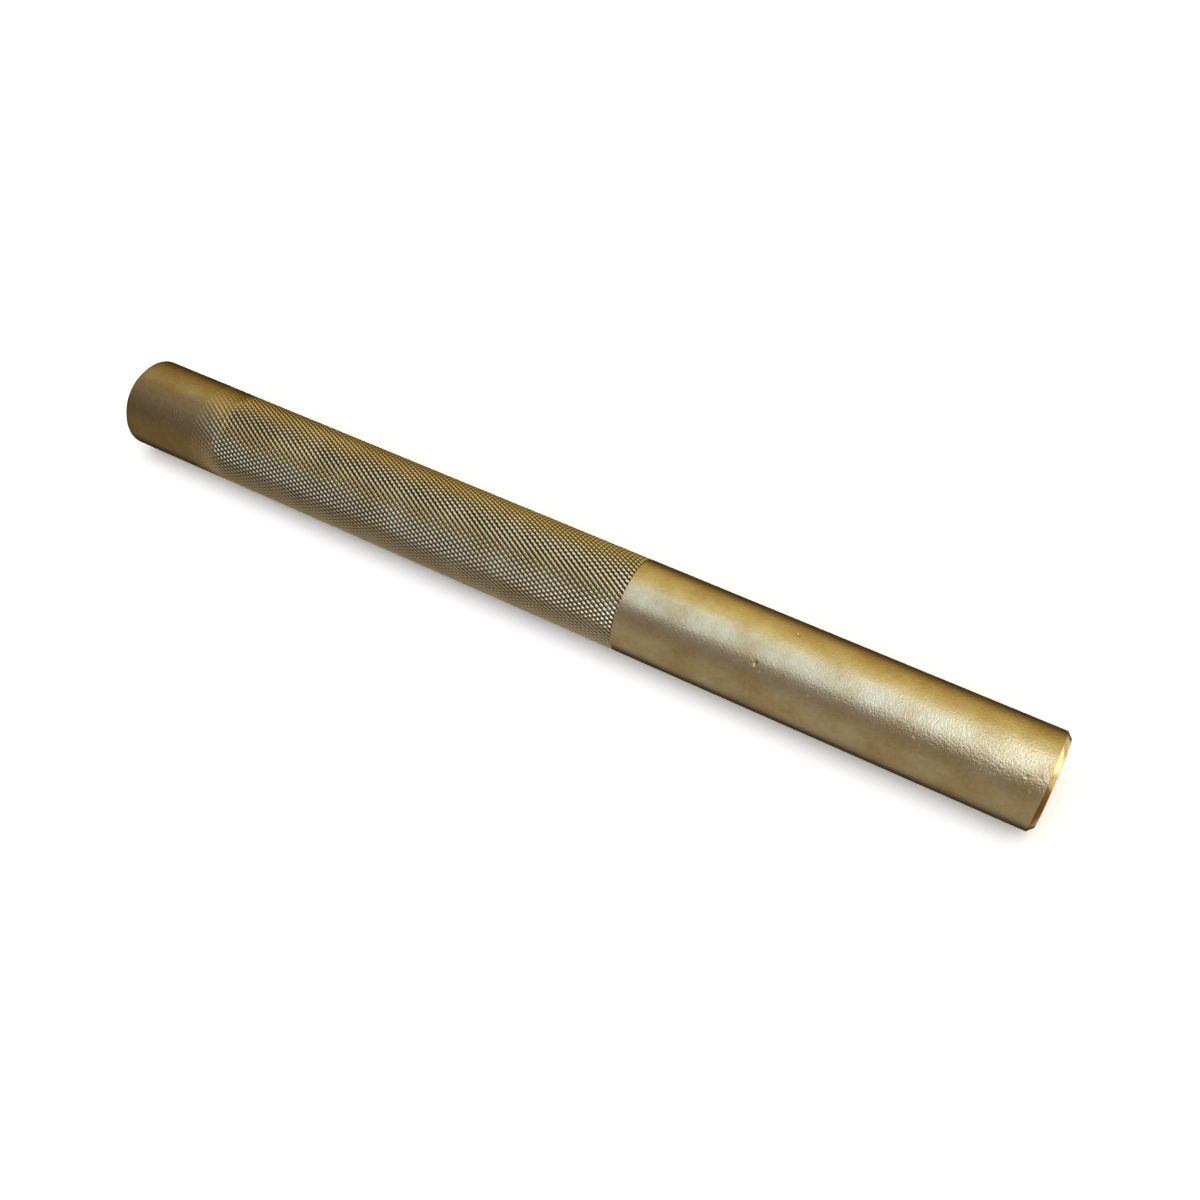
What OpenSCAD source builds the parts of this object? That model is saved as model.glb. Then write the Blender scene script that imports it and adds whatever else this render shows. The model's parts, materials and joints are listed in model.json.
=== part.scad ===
// Knurled brass drift punch, lying on its side along X.
// The striking face looks towards -X and the working face towards +X.
// The origin is under the middle of the punch, on the surface that it lies on.

/* [Bar] */
// Diameter of the bar that the punch is turned from, three quarters of an inch
bar_d = 19.05; // [15:0.05:22]
// Length from the striking face to the working face, eight inches
punch_len = 203.2; // [180:0.1:230]

/* [Zones along the bar] */
// Length of the plain head, from the striking face to the knurl
head_len = 19.05; // [10:0.05:40]
// Length of the knurled grip, and the rest of the bar is the plain shank
grip_len = 101.6; // [60:0.1:120]

/* [Ends] */
// Leg of the chamfer round the striking face
head_chamfer = 1; // [0.3:0.05:3]
// Leg of the chamfer round the working face
tip_chamfer = 1.05; // [0.3:0.05:3]

/* [Knurl] */
// Distance round the bar between two knurl grooves of one hand
knurl_pitch = 1.66; // [1.5:0.01:3]
// Angle between the knurl grooves and the length of the bar, in degrees
knurl_angle = 30; // [20:1:35]
// Depth of the knurl grooves below the crests of the diamonds
knurl_depth = 0.38; // [0.1:0.01:0.6]
// How far the crests of the diamonds lie below the plain bar
knurl_relief = 0.04; // [0.01:0.01:0.3]

/* [Hidden] */

bar_r = bar_d / 2;
shank_len = punch_len - head_len - grip_len;

// The knurl is two sets of grooves, of opposite hands, with a diamond between each four crossings.
// Its points lie in rows across the bar, where a crossing and the crest of a diamond take turns.
crest_r = bar_r - knurl_relief;
groove_r = crest_r - knurl_depth;
starts = round(2 * PI * crest_r / knurl_pitch);
points_a_row = 2 * starts;
point_turn = 360 / points_a_row;
rows = round(2 * grip_len * tan(knurl_angle) / knurl_pitch);
row_step = grip_len / rows;

// Smoothness of the true circles
$fn = 180;

// Whether a point of the knurl is a groove crossing, and not the crest of a diamond
function is_crossing(row, place) = (row + place) % 2 == 0;

// One point of the knurl, with the bar's axis along Z
function knurl_point(row, place) =
    let (r = is_crossing(row, place) ? groove_r : crest_r, turn = place * point_turn)
    [r * cos(turn), r * sin(turn), row * row_step];

// Number of a point in the list, where the last place of a row meets the first
function point_number(row, place) = row * points_a_row + place % points_a_row;

// The two triangles between four neighbouring points, which meet along a groove
function knurl_faces(row, place) =
    let (
        low_left = point_number(row, place),
        low_right = point_number(row, place + 1),
        high_right = point_number(row + 1, place + 1),
        high_left = point_number(row + 1, place)
    )
    is_crossing(row, place)
        ? [[low_left, high_left, high_right], [low_left, high_right, low_right]]
        : [[low_left, high_left, low_right], [high_left, high_right, low_right]];

// Bar with one chamfered end at the base, and its axis along Z
module chamfered_bar(length, chamfer) {
    rotate_extrude()
        polygon([
            [0, 0],
            [bar_r - chamfer, 0],
            [bar_r, chamfer],
            [bar_r, length],
            [0, length]
        ]);
}

// Length of bar with the diamond knurl cut into it, and its axis along Z
module knurled_bar() {
    wall_points = [
        for (row = [0 : rows], place = [0 : points_a_row - 1]) knurl_point(row, place)
    ];
    wall_faces = [
        for (row = [0 : rows - 1], place = [0 : points_a_row - 1])
            each knurl_faces(row, place)
    ];
    base_centre = len(wall_points);
    top_centre = base_centre + 1;
    base_faces = [
        for (place = [0 : points_a_row - 1])
            [base_centre, point_number(0, place), point_number(0, place + 1)]
    ];
    top_faces = [
        for (place = [0 : points_a_row - 1])
            [top_centre, point_number(rows, place + 1), point_number(rows, place)]
    ];
    polyhedron(
        points = concat(wall_points, [[0, 0, 0], [0, 0, grip_len]]),
        faces = concat(wall_faces, base_faces, top_faces)
    );
}

// The whole tool, which is one piece of brass
module drift_punch() {
    color("#b8955a")
        translate([-punch_len / 2, 0, bar_r])
            rotate([0, 90, 0])
                union() {
                    chamfered_bar(head_len, head_chamfer);
                    translate([0, 0, head_len])
                        knurled_bar();
                    translate([0, 0, punch_len])
                        mirror([0, 0, 1])
                            chamfered_bar(shank_len, tip_chamfer);
                }
}

drift_punch();
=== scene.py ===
"""Dressed model of a knurled brass drift punch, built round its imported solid.

The punch is one turned bar that lies on its side along X, with the working face towards +X. The dressed piece
has the true diamond knurl, the broken edges of the two ends and the handling marks, and it stands for the one
CAD node. All lengths are in metres, and names that end in _mm are in millimetres. All angles are in radians,
and names that end in _deg are in degrees.
"""

from __future__ import annotations

import json
import logging
import math
from dataclasses import dataclass, field
from enum import Enum
from typing import Any, Iterable

import bmesh
import bpy
from mathutils import Matrix, Vector, noise


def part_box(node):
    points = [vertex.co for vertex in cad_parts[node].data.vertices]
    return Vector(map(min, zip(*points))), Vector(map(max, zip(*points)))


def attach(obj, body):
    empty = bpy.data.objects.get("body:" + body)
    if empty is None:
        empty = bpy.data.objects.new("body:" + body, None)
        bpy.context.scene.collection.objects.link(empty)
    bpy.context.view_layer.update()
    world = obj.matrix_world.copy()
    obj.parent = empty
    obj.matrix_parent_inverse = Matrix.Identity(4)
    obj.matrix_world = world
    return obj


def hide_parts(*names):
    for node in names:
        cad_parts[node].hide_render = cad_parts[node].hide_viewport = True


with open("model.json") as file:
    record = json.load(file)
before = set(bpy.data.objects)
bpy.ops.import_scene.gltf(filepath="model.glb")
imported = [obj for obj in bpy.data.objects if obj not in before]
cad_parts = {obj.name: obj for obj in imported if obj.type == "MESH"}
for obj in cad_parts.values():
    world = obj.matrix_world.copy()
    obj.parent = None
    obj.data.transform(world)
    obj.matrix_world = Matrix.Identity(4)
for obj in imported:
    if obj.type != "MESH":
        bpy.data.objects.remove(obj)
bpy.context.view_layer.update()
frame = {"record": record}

MM = 0.001
NODE = "drift_punch"
# Blender's Mix node names its colour sockets like its other ones, so they are told apart by number.
COLOUR_A, COLOUR_B, COLOUR_OUT = 6, 7, 2
# Distance between the rings of Blender's wave texture at a scale of one.
RING_UNIT = math.pi / 10
log = logging.getLogger("drift_punch")


def linear(hex_colour: str) -> tuple[float, float, float, float]:
    """Turns an sRGB hex colour into the linear colour that a shader takes.

    Args:
        hex_colour: Six hex digits, with a leading hash.

    Returns:
        Linear red, green and blue, and an alpha of one.
    """
    shares = [int(hex_colour[i : i + 2], 16) / 255 for i in (1, 3, 5)]
    red, green, blue = (s / 12.92 if s <= 0.04045 else ((s + 0.055) / 1.055) ** 2.4 for s in shares)
    return red, green, blue, 1.0


def add_node(tree: bpy.types.NodeTree, kind: str, settings: dict[str, Any] | None = None,
             sockets: dict[Any, Any] | None = None) -> bpy.types.Node:
    """Adds one node to a tree, with its settings and what its sockets hold.

    Args:
        tree: The node tree that the node goes into.
        kind: Blender's name for the kind of node.
        settings: Attributes of the node, by name.
        sockets: Values or output sockets to link, by the name or number of the input.

    Returns:
        The new node.
    """
    node = tree.nodes.new(kind)
    for name, value in (settings or {}).items():
        setattr(node, name, value)
    for name, value in (sockets or {}).items():
        if isinstance(value, bpy.types.NodeSocket):
            tree.links.new(value, node.inputs[name])
        else:
            node.inputs[name].default_value = value
    return node


def add_ramp(tree: bpy.types.NodeTree, factor: bpy.types.NodeSocket,
             stops: Iterable[tuple[float, str]]) -> bpy.types.NodeSocket:
    """Adds a colour ramp with hex colours at its stops.

    Args:
        tree: The node tree that the ramp goes into.
        factor: The socket that drives the ramp.
        stops: Pairs of position and hex colour, from low to high.

    Returns:
        The ramp's colour output.
    """
    ramp = add_node(tree, "ShaderNodeValToRGB", sockets={"Fac": factor})
    places = list(stops)
    while len(ramp.color_ramp.elements) < len(places):
        ramp.color_ramp.elements.new(1.0)
    for element, (position, colour) in zip(ramp.color_ramp.elements, places):
        element.position, element.color = position, linear(colour)
    return ramp.outputs["Color"]


class Surface(Enum):
    """The ways in which the bar's surface was made, as material slots of the dressed piece."""

    TURNED = 0
    KNURLED = 1
    FACED = 2


@dataclass(frozen=True)
class BrassFinish:
    """Bare brass, and how one way of machining it looks.

    Attributes:
        name: Name of the material.
        fresh: Colour where the metal is bright.
        dull: Colour where the metal is tarnished.
        roughness: Least and most roughness over the surface.
        grain_mm: Width of the fine grain that the light sparkles on.
        grain_depth_mm: Depth of that grain.
        swell_mm: Width of the soft waves under the grain.
        swell_depth_mm: Depth of those waves.
        tarnish_mm: Width of the patches of tarnish.
        ring_mm: Distance between the tool's turning marks, or zero where it left none.
        ring_depth_mm: Depth of the turning marks.
        ring_wobble: How far the turning marks stray from true circles.
        lump_mm: Width of the coarse lumps of worn metal, or zero where there are none.
        lump_depth_mm: Depth of those lumps.
        lump_span_mm: Places along the bar where the lumps begin and where they are full.
        speck_ratio: Width of the specks of tarnish, as a multiple of the grain's.
        speck_weight: How strongly the specks show beside the patches.
        tarnish_levels: Value of the two together where the metal is dull, and where it is bright.
        rough_levels: Value of the patches where the metal is roughest, and where it is smoothest.
        axis_mm: Height of the bar's axis.
    """

    name: str
    fresh: str
    dull: str
    roughness: tuple[float, float]
    grain_mm: float
    grain_depth_mm: float
    swell_mm: float
    swell_depth_mm: float
    tarnish_mm: float
    ring_mm: float = 0.0
    ring_depth_mm: float = 0.0
    ring_wobble: float = 0.6
    lump_mm: float = 0.0
    lump_depth_mm: float = 0.0
    lump_span_mm: tuple[float, float] = (0.0, 1.0)
    speck_ratio: float = 2.5
    speck_weight: float = 0.35
    tarnish_levels: tuple[float, float] = (0.45, 0.90)
    rough_levels: tuple[float, float] = (0.3, 0.7)
    axis_mm: float = 9.525

    def material(self) -> bpy.types.Material:
        """Builds the finish as a material.

        Returns:
            The material, with its colour, roughness and relief from nodes.
        """
        made = bpy.data.materials.new(self.name)
        made.use_nodes = True
        tree = made.node_tree
        tree.nodes.clear()
        place = add_node(tree, "ShaderNodeTexCoord").outputs["Object"]
        patches = self.noise(tree, place, self.tarnish_mm, detail=4.0)
        specks = self.noise(tree, place, self.grain_mm * self.speck_ratio, detail=2.0)
        tarnish = add_node(tree, "ShaderNodeMath", {"operation": "MULTIPLY_ADD"}, {
            0: specks, 1: self.speck_weight, 2: patches}).outputs[0]
        colour = add_ramp(tree, tarnish, zip(self.tarnish_levels, (self.dull, self.fresh)))
        rough = add_node(tree, "ShaderNodeMapRange", sockets={
            "Value": patches, "From Min": self.rough_levels[0], "From Max": self.rough_levels[1],
            "To Min": self.roughness[1], "To Max": self.roughness[0]}).outputs["Result"]
        colour, rough = self.soiled_and_shaded(tree, place, colour, rough)
        shader = add_node(tree, "ShaderNodeBsdfPrincipled", sockets={
            "Base Color": colour, "Metallic": 1.0, "Roughness": rough,
            "Normal": self.relief(tree, place)})
        add_node(tree, "ShaderNodeOutputMaterial", sockets={"Surface": shader.outputs["BSDF"]})
        return made

    def soiled_and_shaded(self, tree: bpy.types.NodeTree, place: bpy.types.NodeSocket, colour: bpy.types.NodeSocket,
               rough: bpy.types.NodeSocket) -> tuple[bpy.types.NodeSocket, bpy.types.NodeSocket]:
        """Adds what dirt and painted shade do to the colour and the roughness, which is nothing on a plain
        surface.
        """
        return colour, rough

    def from_axis(self, tree: bpy.types.NodeTree, place: bpy.types.NodeSocket) -> bpy.types.NodeSocket:
        """Measures the coordinates across the bar from its axis.

        Args:
            tree: The node tree that the step goes into.
            place: The coordinates, in metres.

        Returns:
            The same place, with no length along the bar.
        """
        return add_node(tree, "ShaderNodeVectorMath", {"operation": "MULTIPLY_ADD"}, {
            0: place, 1: (0.0, 1.0, 1.0), 2: (0.0, 0.0, -self.axis_mm * MM)}).outputs["Vector"]

    def noise(self, tree: bpy.types.NodeTree, place: bpy.types.NodeSocket, width_mm: float,
              detail: float) -> bpy.types.NodeSocket:
        """Adds a noise whose blobs are about as wide as a real size.

        Args:
            tree: The node tree that the noise goes into.
            place: The coordinates, in metres.
            width_mm: Width of one blob.
            detail: Number of finer layers.

        Returns:
            The noise's value.
        """
        # One unit of the noise holds a blob and the gap beside it.
        return add_node(tree, "ShaderNodeTexNoise", sockets={
            "Vector": place, "Scale": 1 / (2 * width_mm * MM), "Detail": detail}).outputs["Fac"]

    def lumps(self, tree: bpy.types.NodeTree, place: bpy.types.NodeSocket) -> bpy.types.NodeSocket:
        """Adds the height of the coarse lumps, which grow along the bar.

        Args:
            tree: The node tree that the lumps go into.
            place: The coordinates, in metres.

        Returns:
            Their height, as a share of the depth.
        """
        along = add_node(tree, "ShaderNodeSeparateXYZ", sockets={0: place}).outputs["X"]
        start, full = self.lump_span_mm
        grown = add_node(tree, "ShaderNodeMapRange", {"interpolation_type": "SMOOTHSTEP"}, {
            "Value": along, "From Min": start * MM, "From Max": full * MM}).outputs["Result"]
        return add_node(tree, "ShaderNodeMath", {"operation": "MULTIPLY"}, {
            0: self.noise(tree, place, self.lump_mm, detail=2.0), 1: grown}).outputs[0]

    def relief(self, tree: bpy.types.NodeTree, place: bpy.types.NodeSocket) -> bpy.types.NodeSocket:
        """Adds the fine relief: soft waves, then any coarse lumps, then grain, then any turning marks.

        Args:
            tree: The node tree that the relief goes into.
            place: The coordinates, in metres.

        Returns:
            The bumped normal.
        """
        layers = [
            (self.noise(tree, place, self.swell_mm, detail=1.0), self.swell_depth_mm),
            (self.noise(tree, place, self.grain_mm, detail=2.0), self.grain_depth_mm),
        ]
        if self.lump_mm:
            layers.insert(1, (self.lumps(tree, place), self.lump_depth_mm))
        if self.ring_mm:
            wave = add_node(tree, "ShaderNodeTexWave", {"wave_type": "RINGS", "rings_direction": "X"}, {
                "Vector": self.from_axis(tree, place), "Scale": RING_UNIT / (self.ring_mm * MM),
                "Distortion": self.ring_wobble})
            layers.append((wave.outputs["Fac"], self.ring_depth_mm))
        normal: bpy.types.NodeSocket | None = None
        for height, depth_mm in layers:
            sockets: dict[Any, Any] = {"Height": height, "Distance": depth_mm * MM, "Strength": 1.0}
            if normal is not None:
                sockets["Normal"] = normal
            normal = add_node(tree, "ShaderNodeBump", sockets=sockets).outputs["Normal"]
        return normal


@dataclass(frozen=True)
class KnurledBrassFinish(BrassFinish):
    """Brass with a knurl that is worn at one end, and whose grooves hold old oil and grime, with painted
    shade that darkens them the deeper they lie.

    Attributes:
        grime_and_shade: Colour of the grime and of the painted shade in the grooves.
        grime_and_shade_roughness: Roughness of the grime and of the painted shade.
        grime_and_shade_span_mm: Radius up to which the grooves are full of grime and painted shade, and from
            which the metal is clean.
        worn: Colour where the knurl fades into the plain head.
        worn_roughness: Roughness there.
        worn_span_mm: Places along the bar where the knurl begins and where it is full.
    """

    # The grooves grow darker and duller towards their bottoms: this is grime, and painted shade in the
    # grooves.
    grime_and_shade: str = "#1e160a"
    grime_and_shade_roughness: float = 0.55
    grime_and_shade_span_mm: tuple[float, float] = (9.266, 9.392)
    worn: str = "#dcc088"
    worn_roughness: float = 0.32
    worn_span_mm: tuple[float, float] = (-82.55, -73.55)

    def soiled_and_shaded(self, tree: bpy.types.NodeTree, place: bpy.types.NodeSocket, colour: bpy.types.NodeSocket,
               rough: bpy.types.NodeSocket) -> tuple[bpy.types.NodeSocket, bpy.types.NodeSocket]:
        """Wears the knurl where it fades, and lays grime and painted shade in its grooves by distance
        from the bar's axis.

        Args:
            tree: The node tree that it goes into.
            place: The coordinates, in metres.
            colour: Colour of the clean metal.
            rough: Roughness of the clean metal.

        Returns:
            The colour and the roughness with the wear, the grime and the painted shade.
        """
        along = add_node(tree, "ShaderNodeSeparateXYZ", sockets={0: place}).outputs["X"]
        radius = add_node(tree, "ShaderNodeVectorMath", {"operation": "LENGTH"}, {
            0: self.from_axis(tree, place)}).outputs["Value"]
        # The second pass darkens and dulls the grooves by radius: grime, and painted shade in the grooves.
        for where, (start, full), tone, dulled in (
            (along, self.worn_span_mm, self.worn, self.worn_roughness),
            (radius, self.grime_and_shade_span_mm, self.grime_and_shade, self.grime_and_shade_roughness),
        ):
            metal_share = add_node(tree, "ShaderNodeMapRange", {"interpolation_type": "SMOOTHSTEP"}, {
                "Value": where, "From Min": start * MM, "From Max": full * MM}).outputs["Result"]
            colour = add_node(tree, "ShaderNodeMix", {"data_type": "RGBA"}, {
                "Factor": metal_share, COLOUR_A: linear(tone), COLOUR_B: colour}).outputs[COLOUR_OUT]
            rough = add_node(tree, "ShaderNodeMapRange", sockets={
                "Value": metal_share, "To Min": dulled, "To Max": rough}).outputs["Result"]
        return colour, rough


# Brass turned on a lathe: a soft golden sheen with a fine sparkle, and a coarser, worn one at the working
# end. The grain and the lumps are drawn coarser than real, so that they show.
TURNED = BrassFinish(
    "BrassTurnedSatin", fresh="#ecd4a0", dull="#d4b276", roughness=(0.26, 0.33), grain_mm=0.17,
    grain_depth_mm=0.045, swell_mm=0.8, swell_depth_mm=0.010, tarnish_mm=3.0, lump_mm=0.20,
    lump_depth_mm=0.075, lump_span_mm=(15.0, 98.0))
# Brass with a rolled knurl: the same metal, pressed bright on the flanks, and in the grooves dark with grime
# and painted shade.
KNURLED = KnurledBrassFinish(
    "BrassRolledKnurl", fresh="#fae6b6", dull="#e2c892", roughness=(0.13, 0.18), grain_mm=0.16,
    grain_depth_mm=0.002, swell_mm=0.9, swell_depth_mm=0.004, tarnish_mm=5.0)
# Brass faced across the end: rings round the middle that catch the light, drawn wider apart than real.
FACED = BrassFinish(
    "BrassFacedEnd", fresh="#efd9a8", dull="#c8a364", roughness=(0.20, 0.32), grain_mm=0.20,
    grain_depth_mm=0.002, swell_mm=1.5, swell_depth_mm=0.004, tarnish_mm=6.0, ring_mm=0.40,
    ring_depth_mm=0.005)


@dataclass(frozen=True)
class Bar:
    """The sizes of the bar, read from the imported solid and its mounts.

    Attributes:
        low: Lowest corner of the solid's box.
        high: Highest corner of the solid's box.
        mounts: The record's mounts, by name.
    """

    low: Vector
    high: Vector
    mounts: dict[str, dict[str, Any]]

    @classmethod
    def from_frame(cls) -> "Bar":
        """Reads the bar from the frame."""
        low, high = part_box(NODE)
        return cls(Vector(low), Vector(high), {m["name"]: m for m in frame["record"]["mounts"]})

    @property
    def radius(self) -> float:
        """Radius of the plain bar."""
        return (self.high.z - self.low.z) / 2

    @property
    def axis_height(self) -> float:
        """Height of the bar's axis."""
        return (self.high.z + self.low.z) / 2

    def span(self, mount: str) -> tuple[float, float]:
        """The lowest and highest X of a round mount's wall.

        Args:
            mount: Name of the mount.

        Returns:
            Its ends along the bar.
        """
        middle = self.mounts[mount]["pos_m"][0]
        half = self.mounts[mount]["dims"]["length_mm"] * MM / 2
        return middle - half, middle + half

    def point(self, along: float, angle: float, radius: float) -> Vector:
        """A point given by its place along the bar, its angle round it and its radius.

        Args:
            along: X of the point.
            angle: Angle about +X, from +Y towards +Z, in radians.
            radius: Distance from the bar's axis.

        Returns:
            The point in the shared frame.
        """
        return Vector((along, radius * math.cos(angle), self.axis_height + radius * math.sin(angle)))


@dataclass
class Skin:
    """The growing surface of the dressed bar.

    Attributes:
        points: Corners so far.
        faces: Faces so far, as corner numbers and the way that the surface was made.
    """

    points: list[Vector] = field(default_factory=list)
    faces: list[tuple[tuple[int, ...], Surface]] = field(default_factory=list)

    def add(self, points: Iterable[Vector]) -> list[int]:
        """Adds corners.

        Args:
            points: The corners, in the shared frame.

        Returns:
            Their numbers.
        """
        first = len(self.points)
        self.points.extend(points)
        return list(range(first, len(self.points)))

    def face(self, corners: Iterable[int], surface: Surface) -> None:
        """Adds a face whose corners run anticlockwise from outside.

        Args:
            corners: Numbers of its corners.
            surface: How this surface was made.
        """
        self.faces.append((tuple(corners), surface))

    def band(self, near: list[int], far: list[int], surface: Surface) -> None:
        """Joins two rings of equal count, the second further along +X.

        Args:
            near: The ring at the lower X.
            far: The ring at the higher X.
            surface: How this surface was made.
        """
        count = len(near)
        for i in range(count):
            j = (i + 1) % count
            self.face((near[i], near[j], far[j], far[i]), surface)

    def mesh(self, name: str, finishes: Iterable[BrassFinish]) -> bpy.types.Mesh:
        """Turns the surface into a mesh with its materials.

        Args:
            name: Name of the mesh.
            finishes: One finish for each way that a surface was made, in order.

        Returns:
            The mesh.
        """
        made = bpy.data.meshes.new(name)
        made.from_pydata(self.points, [], [corners for corners, _ in self.faces])
        for finish in finishes:
            made.materials.append(finish.material())
        made.polygons.foreach_set("material_index", [surface.value for _, surface in self.faces])
        # The facets of the knurl stay flat, so that each one catches the light as a whole.
        made.polygons.foreach_set("use_smooth", [surface != Surface.KNURLED for _, surface in self.faces])
        made.update()
        return made


@dataclass(frozen=True)
class DiamondKnurl:
    """The knurled grip: two sets of grooves of opposite hands, and the diamonds between them.

    One roller has bitten deeper than the other, so the diamonds stand in ridges with shallower notches across
    them.

    Attributes:
        bar: The bar that it is rolled into.
        starts: Number of grooves of each hand, counted in the photo's pattern.
        angle_deg: Angle between a groove and the bar's length.
        depth_mm: Depth of the grooves below the crests.
        relief_mm: How far the crests lie below the plain bar.
        fade_mm: Length over which the grooves grow shallow at the struck end.
        faint_share: Depth where the knurl begins, as a share of the full depth.
        uneven_share: How far the depth wanders, as a share of itself.
        wander_mm: Width of the places where it wanders.
        wander_weights: How much of the wander is even, broad and fine.
        wander_ratio: How many times finer the fine part is than the broad one.
        level_shares: Places across a flank, from the groove's bottom to the crest's middle.
        height_shares: Height at each of those places.
        notch_share: Height of the shallow grooves where they cross the ridges.
    """

    bar: Bar
    starts: int = 60
    angle_deg: float = 30.0
    depth_mm: float = 0.27
    relief_mm: float = 0.02
    fade_mm: float = 9.0
    faint_share: float = 0.15
    uneven_share: float = 0.18
    wander_mm: float = 6.0
    wander_weights: tuple[float, float, float] = (0.5, 0.5, 0.25)
    wander_ratio: float = 3.1
    level_shares: tuple[float, float] = (0.10, 0.75)
    height_shares: tuple[float, float] = (0.03, 0.94)
    notch_share: float = 0.56

    @property
    def start(self) -> float:
        """X where the knurl begins, at the end of the plain head."""
        return self.bar.span("plain_head")[1]

    @property
    def end(self) -> float:
        """X where the knurl ends, at the plain shank."""
        return self.bar.span("plain_shank")[0]

    @property
    def columns(self) -> int:
        """Number of groove crossings and crests round the bar."""
        return 2 * self.starts

    @property
    def rows(self) -> int:
        """Number of half diamonds along the knurl."""
        pitch = 2 * math.pi * self.bar.radius / self.starts / math.tan(math.radians(self.angle_deg))
        return round(2 * (self.end - self.start) / pitch)

    def is_groove(self, row: int, column: int) -> bool:
        """Whether a corner of the lattice is a groove crossing, and not a crest."""
        return (row + column) % 2 == 0

    def corner(self, row: float, column: float, height_share: float) -> Vector:
        """A point of the knurl.

        Args:
            row: Place along the knurl, in half diamonds.
            column: Place round the bar, in half diamonds.
            height_share: Height above the groove's bottom, as a share of the depth.

        Returns:
            The point in the shared frame.
        """
        along = self.start + (self.end - self.start) * row / self.rows
        angle = 2 * math.pi * column / self.columns
        place = self.bar.point(along, angle, self.bar.radius) * (1 / (self.wander_mm * MM))
        even, broad, fine = self.wander_weights
        wander = even + broad * noise.noise(place) + fine * noise.noise(place * self.wander_ratio)
        worn = min(1.0, self.faint_share + (along - self.start) / (self.fade_mm * MM))
        depth = self.depth_mm * MM * (1 - self.uneven_share * wander) * worn
        crest = self.bar.radius - self.relief_mm * MM * worn
        return self.bar.point(along, angle, crest - depth * (1 - height_share))

    def edge(self, skin: Skin, ends: tuple[tuple[int, int], tuple[int, int]]) -> list[int]:
        """Adds the corners between a groove crossing and a crest that lie side by side.

        Args:
            skin: The surface that they go into.
            ends: The two lattice corners, as row and column.

        Returns:
            Their numbers, from the groove's side to the crest's.
        """
        low, high = ends if self.is_groove(*ends[0]) else ends[::-1]
        return skin.add(
            self.corner(low[0] + share * (high[0] - low[0]), low[1] + share * (high[1] - low[1]), height)
            for share, height in zip(self.level_shares, self.height_shares)
        )

    def build(self, skin: Skin) -> tuple[list[int], list[int]]:
        """Adds the knurl's surface.

        Args:
            skin: The surface that it goes into.

        Returns:
            The rings at its two ends, from the struck end.
        """
        corners: dict[tuple[int, int], int] = {}
        across: dict[tuple[int, int], list[int]] = {}
        along: dict[tuple[int, int], list[int]] = {}
        for row in range(self.rows + 1):
            for column in range(self.columns):
                height = 0.0 if self.is_groove(row, column) else 1.0
                corners[row, column] = skin.add([self.corner(row, column, height)])[0]
                across[row, column] = self.edge(skin, ((row, column), (row, column + 1)))
                if row < self.rows:
                    along[row, column] = self.edge(skin, ((row, column), (row + 1, column)))
        for row in range(self.rows):
            for column in range(self.columns):
                self.add_flanks(skin, row, column, corners, across, along)
        return tuple(self.end_ring(row, corners, across) for row in (0, self.rows))

    def add_flanks(self, skin: Skin, row: int, column: int, corners: dict[tuple[int, int], int],
                   across: dict[tuple[int, int], list[int]],
                   along: dict[tuple[int, int], list[int]]) -> None:
        """Adds the two flanks that meet in the groove across one cell of the lattice.

        Args:
            skin: The surface that they go into.
            row: The cell's lower row.
            column: The cell's lower column.
            corners: Corner numbers by row and column.
            across: Numbers between a corner and the next one round the bar.
            along: Numbers between a corner and the next one along it.
        """
        beside = (column + 1) % self.columns
        ring = [(row, column), (row, beside), (row + 1, beside), (row + 1, column)]
        sides = [across[row, column], along[row, beside], across[row + 1, column], along[row, column]]
        is_deep = self.is_groove(row, column)
        notch = None if is_deep else skin.add([self.corner(row + 0.5, column + 0.5, self.notch_share)])[0]
        first_crest = 1 if is_deep else 0
        for crest in (first_crest, first_crest + 2):
            before, after = sides[(crest - 1) % 4], sides[crest % 4]
            top = corners[ring[crest % 4]]
            low_before, low_after = corners[ring[(crest - 1) % 4]], corners[ring[(crest + 1) % 4]]
            if notch is None:
                skin.face((low_before, before[0], after[0], low_after), Surface.KNURLED)
                skin.face((before[0], before[1], after[1], after[0]), Surface.KNURLED)
            else:
                rim = (low_before, before[0], before[1], after[1], after[0], low_after)
                for near, far in zip(rim, rim[1:]):
                    skin.face((notch, near, far), Surface.KNURLED)
            skin.face((before[1], top, after[1]), Surface.KNURLED)

    def end_ring(self, row: int, corners: dict[tuple[int, int], int],
                 across: dict[tuple[int, int], list[int]]) -> list[int]:
        """The ring of corners at one end of the knurl, in order round the bar.

        Args:
            row: The first or the last row.
            corners: Corner numbers by row and column.
            across: Numbers between a corner and the next one round the bar.

        Returns:
            The ring.
        """
        ring: list[int] = []
        for column in range(self.columns):
            between = across[row, column]
            ring.append(corners[row, column])
            ring.extend(between if self.is_groove(row, column) else between[::-1])
        return ring


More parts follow.
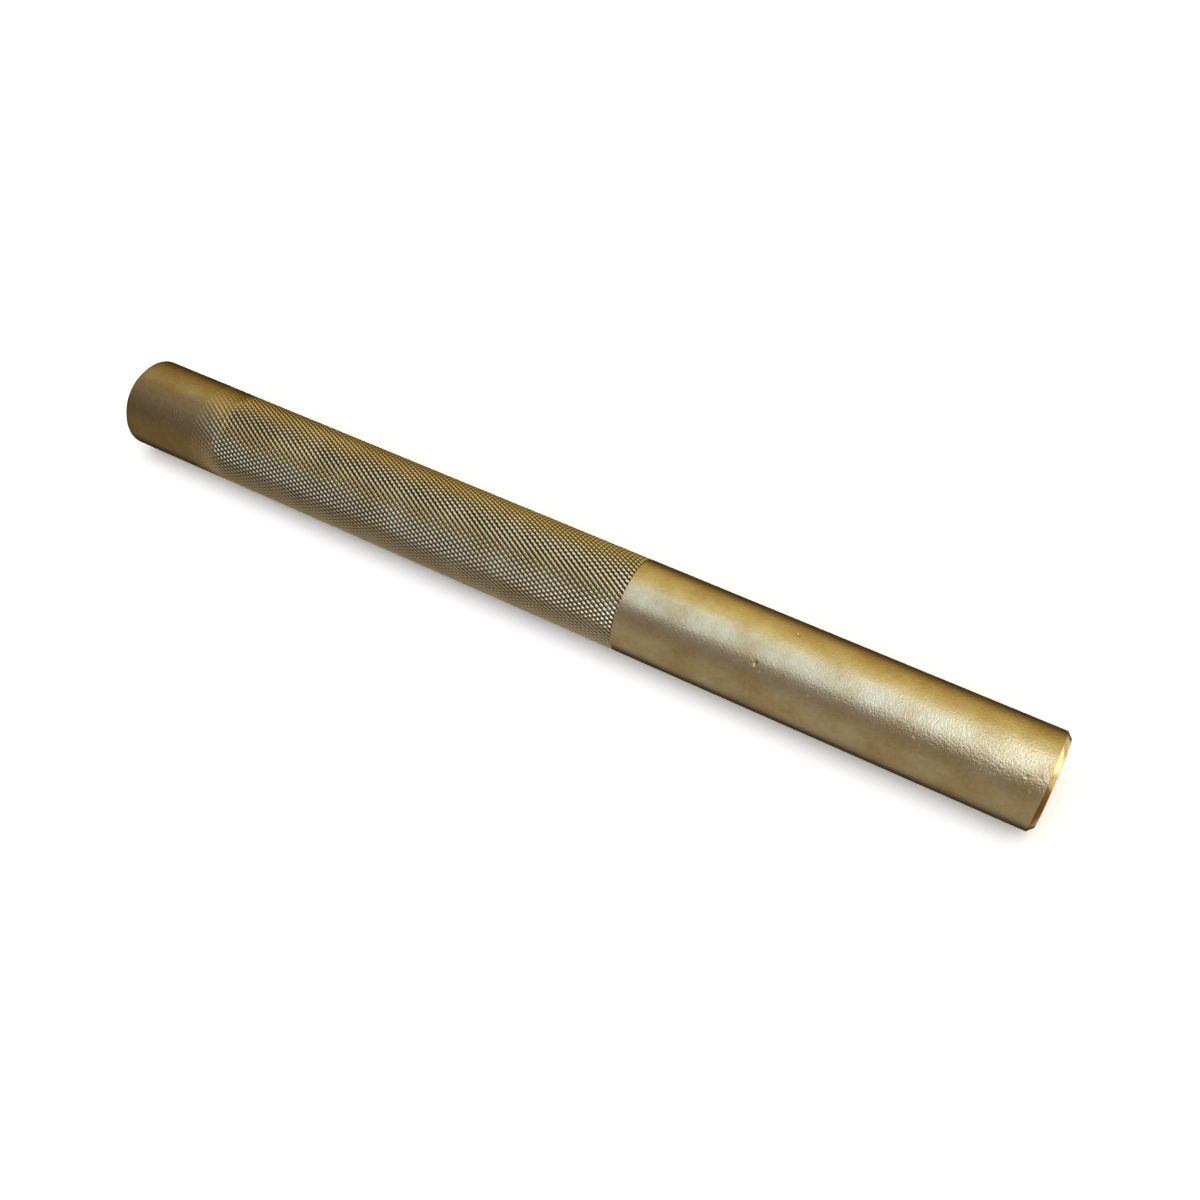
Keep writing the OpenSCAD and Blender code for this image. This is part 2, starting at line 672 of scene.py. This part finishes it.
@dataclass(frozen=True)
class PlainEnd:
    """A plain stretch of the bar with its chamfered end: the head, or the shank.

    Attributes:
        bar: The bar that it belongs to.
        mount: The round mount that gives its plain length.
        inner: X where it meets the knurl.
        outer: X of its flat end face.
        ring_step_mm: Distance between the rings of its surface.
        edge_mm: Radius to which its corners are broken.
        face_shares: Radii of the rings on its end face, as shares of the face's own.
    """

    bar: Bar
    mount: str
    inner: float
    outer: float
    ring_step_mm: float = 1.0
    edge_mm: float = 0.12
    face_shares: tuple[float, ...] = (0.93, 0.7, 0.45, 0.2)

    @property
    def chamfer(self) -> float:
        """Leg of the chamfer, from the face to the end of the round mount."""
        low, high = self.bar.span(self.mount)
        return min(abs(self.outer - low), abs(self.outer - high))

    def profile(self) -> list[tuple[float, float, Surface]]:
        """The outline from the knurl to the middle of the face.

        Returns:
            Distance from the knurl, radius and the way that the stretch up to there was made.
        """
        length, radius = abs(self.outer - self.inner), self.bar.radius
        leg, edge = self.chamfer, self.edge_mm * MM
        plain = length - leg
        steps = round(plain / (self.ring_step_mm * MM))
        outline = [((plain - edge) * i / steps, radius, Surface.TURNED) for i in range(steps + 1)]
        # The chamfer slopes at an eighth of a turn. Both its corners are small arcs that run on smoothly from
        # the straight stretches.
        turn = math.pi / 4
        reach = edge * math.tan(turn / 2)
        for share in (0.5, 1.0):
            bend = turn * share
            outline.append((plain - reach + edge * math.sin(bend), radius - edge * (1 - math.cos(bend)),
                            Surface.TURNED))
        face_radius = radius - leg - reach
        for share in (0.0, 0.5, 1.0):
            bend = turn + turn * share
            outline.append((length - edge + edge * math.sin(bend), face_radius + edge * math.cos(bend),
                            Surface.FACED))
        outline += [(length, face_radius * share, Surface.FACED) for share in self.face_shares]
        return outline

    def build(self, skin: Skin, knurl_ring: list[int], columns: int) -> None:
        """Adds the shoulder at the knurl, the plain surface, the chamfer and the face.

        Args:
            skin: The surface that they go into.
            knurl_ring: The knurl's ring at this end.
            columns: Number of corners in a ring of the plain surface.
        """
        forward = self.outer > self.inner
        way = 1 if forward else -1
        per_column = len(knurl_ring) // columns
        shoulder = skin.add(
            self.bar.point(self.inner, self.angle_of(skin.points[number]), self.bar.radius)
            for number in knurl_ring
        )
        self.join(skin, knurl_ring, shoulder, Surface.KNURLED, forward)
        rings: list[list[int]] = []
        outline = self.profile()
        for distance, radius, _ in outline[1:]:
            rings.append(skin.add(
                self.bar.point(self.inner + way * distance, 2 * math.pi * i / columns, radius)
                for i in range(columns)
            ))
        for i in range(columns):
            j = (i + 1) % columns
            arc = [shoulder[(i * per_column + k) % len(shoulder)] for k in range(per_column + 1)]
            corners = arc + [rings[0][j], rings[0][i]]
            skin.face(corners if forward else corners[::-1], Surface.TURNED)
        for near, far, (_, _, surface) in zip(rings, rings[1:], outline[2:]):
            self.join(skin, near, far, surface, forward)
        middle = skin.add([self.bar.point(self.outer, 0.0, 0.0)])[0]
        last = rings[-1]
        for i in range(columns):
            corners = (last[i], last[(i + 1) % columns], middle)
            skin.face(corners if forward else corners[::-1], Surface.FACED)

    def angle_of(self, point: Vector) -> float:
        """Angle round the bar of a point on its surface."""
        return math.atan2(point.z - self.bar.axis_height, point.y)

    def join(self, skin: Skin, near: list[int], far: list[int], surface: Surface, forward: bool) -> None:
        """Joins two rings, with the outside outwards whichever way this end looks.

        Args:
            skin: The surface that the band goes into.
            near: The ring nearer the knurl.
            far: The ring nearer the face.
            surface: How this surface was made.
            forward: Whether this end looks towards +X.
        """
        skin.band(*((near, far) if forward else (far, near)), surface)


@dataclass(frozen=True)
class Mark:
    """A small dent or blister in the plain metal of the shank.

    Attributes:
        from_face_mm: Distance of its middle from the working face.
        angle_deg: Its angle round the bar, from +Y towards +Z.
        length_mm: Its length along the bar.
        width_mm: Its width round the bar.
        depth_mm: Its depth, or less than zero where it stands proud.
        rim_power: How softly it runs out at its rim.
    """

    from_face_mm: float
    angle_deg: float
    length_mm: float
    width_mm: float
    depth_mm: float
    rim_power: float = 1.5

    def height(self, bar: Bar, point: Vector) -> float:
        """How far the mark moves a point of the surface outwards.

        Args:
            bar: The bar that carries it.
            point: The point in the shared frame.

        Returns:
            The distance, which is below zero in a dent.
        """
        along = (point.x - bar.high.x + self.from_face_mm * MM) / (self.length_mm * MM / 2)
        turn = math.atan2(point.z - bar.axis_height, point.y) - math.radians(self.angle_deg)
        around = turn * bar.radius / (self.width_mm * MM / 2)
        inside = max(0.0, 1 - along * along - around * around)
        return -self.depth_mm * MM * inside ** self.rim_power


# The marks that handling has left on the shank's upper side, where the photo shows them.
MARKS = (
    Mark(54.6, 132.2, 0.9, 1.5, 0.22),
    Mark(53.2, 138.0, 0.7, 0.6, 0.06),
    Mark(49.9, 81.5, 0.9, 0.8, 0.14),
    Mark(48.6, 84.0, 0.6, 0.6, 0.05),
    Mark(43.5, 141.0, 1.2, 0.8, 0.05),
    Mark(24.3, 139.9, 0.9, 0.9, -0.05),
    Mark(22.6, 141.5, 1.1, 1.1, 0.05),
    Mark(3.4, 144.9, 0.9, 0.9, -0.05),
    Mark(4.6, 130.0, 1.2, 1.0, 0.06),
    Mark(2.6, 125.5, 1.0, 1.2, 0.07),
)


@dataclass
class DriftPunch:
    """The whole tool, as one closed piece of brass.

    Attributes:
        bar: Its sizes.
        marks: Its dents and blisters.
        patch_mm: How far the finer faces reach round a mark.
        patch_cuts: Number of cuts across each face of a patch.
        sharp_deg: Angle between two faces from which the edge between them shows as sharp.
    """

    bar: Bar
    marks: tuple[Mark, ...] = MARKS
    patch_mm: float = 1.9
    patch_cuts: int = 6
    sharp_deg: float = 25.0

    def build(self) -> bpy.types.Object:
        """Builds and dresses the punch.

        Returns:
            The dressed piece, which stands for the CAD node.
        """
        skin = Skin()
        knurl = DiamondKnurl(self.bar)
        head_ring, shank_ring = knurl.build(skin)
        PlainEnd(self.bar, "plain_head", knurl.start, self.bar.low.x).build(skin, head_ring, knurl.columns)
        PlainEnd(self.bar, "plain_shank", knurl.end, self.bar.high.x).build(skin, shank_ring, knurl.columns)
        mesh = skin.mesh("drift_punch_bar", (TURNED, KNURLED, FACED))
        self.press_marks(mesh)
        mesh.set_sharp_from_angle(angle=math.radians(self.sharp_deg))
        piece = bpy.data.objects.new("drift_punch_bar", mesh)
        bpy.context.scene.collection.objects.link(piece)
        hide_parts(NODE)
        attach(piece, "root")
        return piece

    def press_marks(self, mesh: bpy.types.Mesh) -> None:
        """Presses the marks into the mesh, on a patch of finer faces round each one.

        Args:
            mesh: The mesh of the whole bar.
        """
        cage = bmesh.new()
        cage.from_mesh(mesh)
        reach = self.patch_mm * MM
        middles = [self.bar.point(self.bar.high.x - mark.from_face_mm * MM, math.radians(mark.angle_deg),
                                  self.bar.radius) for mark in self.marks]
        plain = [edge for edge in cage.edges
                 if all(face.material_index == Surface.TURNED.value for face in edge.link_faces)
                 and any(all((vert.co - middle).length < reach for vert in edge.verts) for middle in middles)]
        made = bmesh.ops.subdivide_edges(cage, edges=plain, cuts=self.patch_cuts, use_grid_fill=True)
        for vert in {item for item in made["geom_inner"] if isinstance(item, bmesh.types.BMVert)}:
            angle = math.atan2(vert.co.z - self.bar.axis_height, vert.co.y)
            height = sum(mark.height(self.bar, vert.co) for mark in self.marks)
            vert.co = self.bar.point(vert.co.x, angle, self.bar.radius + height)
        cage.to_mesh(mesh)
        cage.free()


@dataclass(frozen=True)
class SoftBox:
    """A rectangular studio light that looks at the punch.

    Attributes:
        name: Name of the light.
        elevation_deg: Its direction round the bar, from the horizon in front up over the top.
        side_deg: Its direction towards the working end, from square to the bar.
        distance: Its distance from the bar.
        shift: Place along the bar that it is set out from.
        length: Its size along the bar.
        width: Its size round the bar.
        radiance: Brightness of its face.
        colour: Colour of its light.
    """

    name: str
    elevation_deg: float
    side_deg: float
    distance: float
    shift: float
    length: float
    width: float
    radiance: float
    colour: str

    def build(self, target: Vector) -> bpy.types.Object:
        """Hangs the light.

        Args:
            target: The point of the bar that it is set out from.

        Returns:
            The light.
        """
        data = bpy.data.lights.new(self.name, "AREA")
        data.shape = "RECTANGLE"
        data.size, data.size_y = self.length, self.width
        data.energy = self.radiance * math.pi * self.length * self.width
        data.color = linear(self.colour)[:3]
        light = bpy.data.objects.new(self.name, data)
        turn, side = math.radians(self.elevation_deg), math.radians(self.side_deg)
        way = Vector((math.sin(side), -math.cos(side) * math.cos(turn), math.cos(side) * math.sin(turn)))
        light.location = target + Vector((self.shift, 0.0, 0.0)) + self.distance * way
        across = way.cross(Vector((1.0, 0.0, 0.0))).normalized()
        light.rotation_euler = Matrix((across.cross(way), across, way)).transposed().to_euler()
        light.visible_camera = False
        light.visible_diffuse = False
        bpy.context.scene.collection.objects.link(light)
        return light


@dataclass(frozen=True)
class Room:
    """The room that the brass mirrors, as colours by direction.

    A direction has an angle round the bar, in degrees from the horizon in front up over the top, and an X,
    which runs from -1 off the struck face to 1 off the working face.

    Attributes:
        beside: Colours by angle: grey in front, pale and warm behind, nearly black below.
        struck_side: What dims those colours towards the struck end, by X.
        struck_far: Colours by angle far past the struck end.
        struck_far_span: The X where these begin and where they are full.
        struck_axis: The colour straight off the struck face.
        struck_axis_span: The X where it begins and where it is full.
        tip_side: Colours by angle past the working end.
        tip_side_span: The X where these begin and where they are full.
    """

    beside: tuple[tuple[float, str], ...] = (
        (-180.0, "#7c6a48"), (-162.0, "#12100c"), (-105.0, "#141312"), (-84.0, "#3a3836"), (-66.0, "#9a9a9c"),
        (-10.0, "#9e9ea0"), (15.0, "#868690"), (40.0, "#8488a2"), (97.0, "#868690"), (108.0, "#e6eee0"),
        (124.0, "#e2e4ca"), (138.0, "#d2cda2"), (154.0, "#c4ba88"), (168.0, "#ac9c6c"), (180.0, "#7c6a48"))
    struck_side: tuple[tuple[float, str], ...] = ((-0.8, "#504432"), (-0.6, "#b4a07e"), (-0.4, "#fffdf8"))
    struck_far: tuple[tuple[float, str], ...] = (
        (-180.0, "#1a140c"), (-170.0, "#14110c"), (-110.0, "#14110c"), (-90.0, "#332c1e"), (30.0, "#332c1e"),
        (56.0, "#a4864e"), (80.0, "#dcbc78"), (112.0, "#dcbc78"), (136.0, "#2a2010"), (180.0, "#1a140c"))
    struck_far_span: tuple[float, float] = (-0.70, -0.84)
    struck_axis: str = "#b8a074"
    struck_axis_span: tuple[float, float] = (-0.92, -0.98)
    tip_side: tuple[tuple[float, str], ...] = (
        (-180.0, "#c0aa80"), (-168.0, "#c0aa80"), (-155.0, "#fff6e4"), (-112.0, "#fff6e4"),
        (-90.0, "#6a5634"), (-40.0, "#6a5634"), (0.0, "#a0906c"), (90.0, "#c0aa80"), (180.0, "#c0aa80"))
    tip_side_span: tuple[float, float] = (0.30, 0.55)

    def by_angle(self, tree: bpy.types.NodeTree, turn: bpy.types.NodeSocket,
                 stops: tuple[tuple[float, str], ...]) -> bpy.types.NodeSocket:
        """Adds colours by angle round the bar.

        Args:
            tree: The node tree that they go into.
            turn: The angle as a share of a whole turn, counted from the horizon behind.
            stops: Pairs of angle in degrees and hex colour.

        Returns:
            The colour.
        """
        return add_ramp(tree, turn, [(degrees / 360 + 0.5, tone) for degrees, tone in stops])

    def build(self) -> bpy.types.World:
        """Builds the room as a world.

        Returns:
            The world, with its colours from nodes.
        """
        world = bpy.data.worlds.new("soft_room")
        world.use_nodes = True
        tree = world.node_tree
        tree.nodes.clear()
        way = add_node(tree, "ShaderNodeTexCoord").outputs["Generated"]
        parts = add_node(tree, "ShaderNodeSeparateXYZ", sockets={0: way}).outputs
        front = add_node(tree, "ShaderNodeMath", {"operation": "MULTIPLY"}, {
            0: parts["Y"], 1: -1.0}).outputs[0]
        angle = add_node(tree, "ShaderNodeMath", {"operation": "ARCTAN2"}, {
            0: parts["Z"], 1: front}).outputs[0]
        turn = add_node(tree, "ShaderNodeMapRange", sockets={
            "Value": angle, "From Min": -math.pi, "From Max": math.pi}).outputs["Result"]
        side = add_node(tree, "ShaderNodeMapRange", sockets={
            "Value": parts["X"], "From Min": -1.0, "From Max": 1.0}).outputs["Result"]
        shade = add_ramp(tree, side, [((x + 1) / 2, tone) for x, tone in self.struck_side])
        beside = self.by_angle(tree, turn, self.beside)
        colour = add_node(tree, "ShaderNodeMix", {"data_type": "RGBA", "blend_type": "MULTIPLY"}, {
            "Factor": 1.0, COLOUR_A: beside, COLOUR_B: shade}).outputs[COLOUR_OUT]
        for (start, full), tone in (
            (self.struck_far_span, self.by_angle(tree, turn, self.struck_far)),
            (self.struck_axis_span, linear(self.struck_axis)),
            (self.tip_side_span, self.by_angle(tree, turn, self.tip_side)),
        ):
            share = add_node(tree, "ShaderNodeMapRange", {"interpolation_type": "SMOOTHSTEP"}, {
                "Value": parts["X"], "From Min": start, "From Max": full}).outputs["Result"]
            colour = add_node(tree, "ShaderNodeMix", {"data_type": "RGBA"}, {
                "Factor": share, COLOUR_A: colour, COLOUR_B: tone}).outputs[COLOUR_OUT]
        room = add_node(tree, "ShaderNodeBackground", sockets={"Color": colour})
        add_node(tree, "ShaderNodeOutputWorld", sockets={"Surface": room.outputs[0]})
        return world


@dataclass(frozen=True)
class PaperFinish:
    """Pale paper, which is lit by the studio or glows by itself.

    Attributes:
        name: Name of the material.
        colour: Colour of the paper.
        glows: Whether it glows by itself.
        roughness: Roughness of paper that doesn't glow.
        sheen: Strength of the mirrored light on paper that doesn't glow.
    """

    name: str
    colour: str
    glows: bool
    roughness: float = 0.9
    sheen: float = 0.1

    def material(self) -> bpy.types.Material:
        """Builds the paper as a material.

        Returns:
            The material.
        """
        made = bpy.data.materials.new(self.name)
        made.use_nodes = True
        tree = made.node_tree
        tree.nodes.clear()
        if self.glows:
            shader = add_node(tree, "ShaderNodeEmission", sockets={"Color": linear(self.colour)})
        else:
            shader = add_node(tree, "ShaderNodeBsdfPrincipled", sockets={
                "Base Color": linear(self.colour), "Roughness": self.roughness,
                "Specular IOR Level": self.sheen})
        add_node(tree, "ShaderNodeOutputMaterial", sockets={"Surface": shader.outputs[0]})
        return made


# Matt white paper under the punch: a faintly cool ground that takes a soft shadow.
PAPER_MATT = PaperFinish("PaperMatt", "#f6f7fa", glows=False)
# White paper that glows evenly all round: no line shows where the floor ends.
PAPER_LIT = PaperFinish("PaperLit", "#ffffff", glows=True)


@dataclass
class Studio:
    """The pale floor, the soft light and the camera.

    Attributes:
        bar: The bar that lies in the studio.
        room: The room that the brass mirrors.
        boxes: The soft boxes that the brass mirrors too.
        floor_size: Side of the floor.
        floor_gap_mm: How far the floor lies below the bar, so that the two don't share a face.
        backdrop_radius: Radius of the backdrop.
        backdrop_segments: Number of faces of the backdrop round it and from its foot to its top.
        fill_spread_deg: How wide the floor's own light looks.
        fill_strength: How strong that light is.
        fill_tilt_deg: How far it is turned from straight down, about X and about Y.
        lens_mm: Focal length, fitted to the photo's outline.
        sensor_mm: Width of the sensor that the focal length belongs to.
        camera_from_face_mm: Camera's place from the middle of the working face, fitted the same way.
        camera_down_deg: How far the camera looks down.
        camera_turn_deg: How far the camera is turned from looking along +Y.
        camera_clip: Nearest and furthest distance that the camera sees.
    """

    bar: Bar
    room: Room = Room()
    boxes: tuple[SoftBox, ...] = (
        SoftBox("overhead_box", elevation_deg=78.0, side_deg=0.0, distance=0.7, shift=0.01, length=0.74,
                width=0.72, radiance=1.22, colour="#adcdff"),
        SoftBox("tip_box", elevation_deg=76.0, side_deg=24.0, distance=0.7, shift=0.0, length=0.28,
                width=0.76, radiance=1.4, colour="#dfe8ff"),
        SoftBox("window_box", elevation_deg=150.0, side_deg=58.0, distance=0.8, shift=0.1, length=0.6,
                width=0.5, radiance=2.0, colour="#fff2dc"),
    )
    floor_size: float = 8.0
    floor_gap_mm: float = 0.02
    backdrop_radius: float = 3.9
    backdrop_segments: tuple[int, int] = (64, 32)
    fill_spread_deg: float = 75.0
    fill_strength: float = 3.3
    fill_tilt_deg: tuple[float, float] = (26.0, 6.0)
    lens_mm: float = 38.904
    sensor_mm: float = 36.0
    camera_from_face_mm: tuple[float, float, float] = (-11.64, -141.70, 195.00)
    camera_down_deg: float = 50.694
    camera_turn_deg: float = 28.975
    camera_clip: tuple[float, float] = (0.01, 50.0)

    def build(self) -> None:
        """Sets up the room, the floor, the backdrop, the lights and the camera."""
        bpy.context.scene.world = self.room.build()
        self.build_floor()
        self.build_backdrop()
        for box in self.boxes:
            box.build(Vector((0.0, 0.0, self.bar.axis_height)))
        self.build_fill()
        self.build_camera()

    def build_backdrop(self) -> None:
        """Hangs a pale backdrop all round, which only the camera sees and which no light or brass meets."""
        around, upwards = self.backdrop_segments
        shell = bmesh.new()
        bmesh.ops.create_uvsphere(shell, u_segments=around, v_segments=upwards, radius=self.backdrop_radius)
        mesh = bpy.data.meshes.new("paper_backdrop")
        shell.to_mesh(mesh)
        shell.free()
        mesh.materials.append(PAPER_LIT.material())
        backdrop = bpy.data.objects.new("paper_backdrop", mesh)
        backdrop.visible_glossy = backdrop.visible_diffuse = backdrop.visible_shadow = False
        bpy.context.scene.collection.objects.link(backdrop)

    def build_floor(self) -> None:
        """Lays the pale paper that the punch lies on, which the brass doesn't mirror."""
        half = self.floor_size / 2
        level = self.bar.low.z - self.floor_gap_mm * MM
        mesh = bpy.data.meshes.new("paper_floor")
        mesh.from_pydata([(x * half, y * half, level) for x, y in ((-1, -1), (1, -1), (1, 1), (-1, 1))],
                         [], [(0, 1, 2, 3)])
        mesh.materials.append(PAPER_MATT.material())
        floor = bpy.data.objects.new("paper_floor", mesh)
        floor.visible_glossy = False
        bpy.context.scene.collection.objects.link(floor)

    def build_fill(self) -> None:
        """Hangs a wide light for the floor alone, which the brass doesn't mirror."""
        data = bpy.data.lights.new("floor_fill", "SUN")
        data.angle = math.radians(self.fill_spread_deg)
        data.energy = self.fill_strength
        fill = bpy.data.objects.new("floor_fill", data)
        fill.rotation_euler = (*(math.radians(tilt) for tilt in self.fill_tilt_deg), 0.0)
        fill.visible_glossy = False
        bpy.context.scene.collection.objects.link(fill)

    def build_camera(self) -> None:
        """Puts the camera where the photo was taken from."""
        data = bpy.data.cameras.new("camera")
        data.lens, data.sensor_width = self.lens_mm, self.sensor_mm
        data.clip_start, data.clip_end = self.camera_clip
        camera = bpy.data.objects.new("camera", data)
        face = Vector((self.bar.high.x, 0.0, self.bar.axis_height))
        camera.location = face + Vector(self.camera_from_face_mm) * MM
        pitch, turn = math.radians(90 - self.camera_down_deg), math.radians(self.camera_turn_deg)
        camera.rotation_euler = (pitch, 0.0, turn)
        bpy.context.scene.collection.objects.link(camera)
        bpy.context.scene.camera = camera


def main() -> None:
    """Builds the punch and its studio."""
    logging.basicConfig(level=logging.INFO, format="%(name)s: %(message)s")
    bpy.context.scene.view_settings.view_transform = "Standard"
    bar = Bar.from_frame()
    piece = DriftPunch(bar).build()
    log.info("%s has %d faces", piece.name, len(piece.data.polygons))
    Studio(bar).build()
    bpy.context.view_layer.update()


if __name__ == "__main__":
    main()
